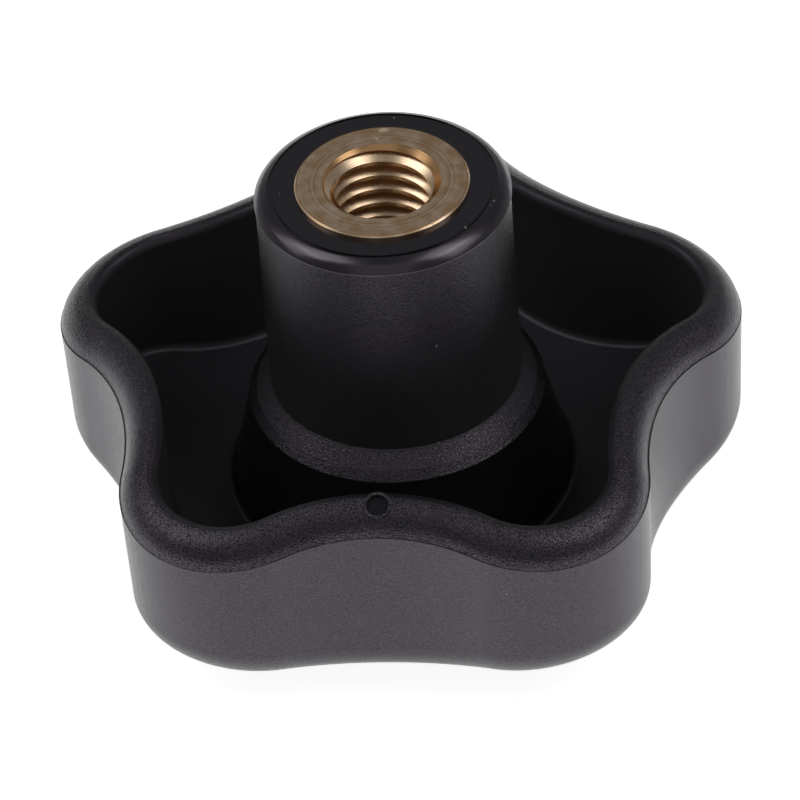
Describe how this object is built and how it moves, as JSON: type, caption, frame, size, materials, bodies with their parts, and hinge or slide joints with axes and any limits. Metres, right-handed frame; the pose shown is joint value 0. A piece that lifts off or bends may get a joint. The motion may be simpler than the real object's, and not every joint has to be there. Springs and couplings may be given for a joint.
{
  "type": "star knob",
  "caption": "Star-shaped clamping knob with a hollow ribless underside, a raised central boss and a blind threaded metal insert.",
  "frame": {"origin": "centre of the insert's end face, on the thread's axis", "axes": "+Z along the thread, out of its mouth; a valley between two lobes faces -Y and a lobe faces +Y"},
  "size_m": [0.061, 0.059, 0.038],
  "materials": {
    "body_plastic": "black glass-filled nylon, spark-eroded matte outside, smoother inside",
    "insert_brass": "turned free-machining brass, bare"
  },
  "bodies": {
    "root": {"knob_body": "body_plastic", "threaded_insert": "insert_brass"}
  },
  "joints": []
}
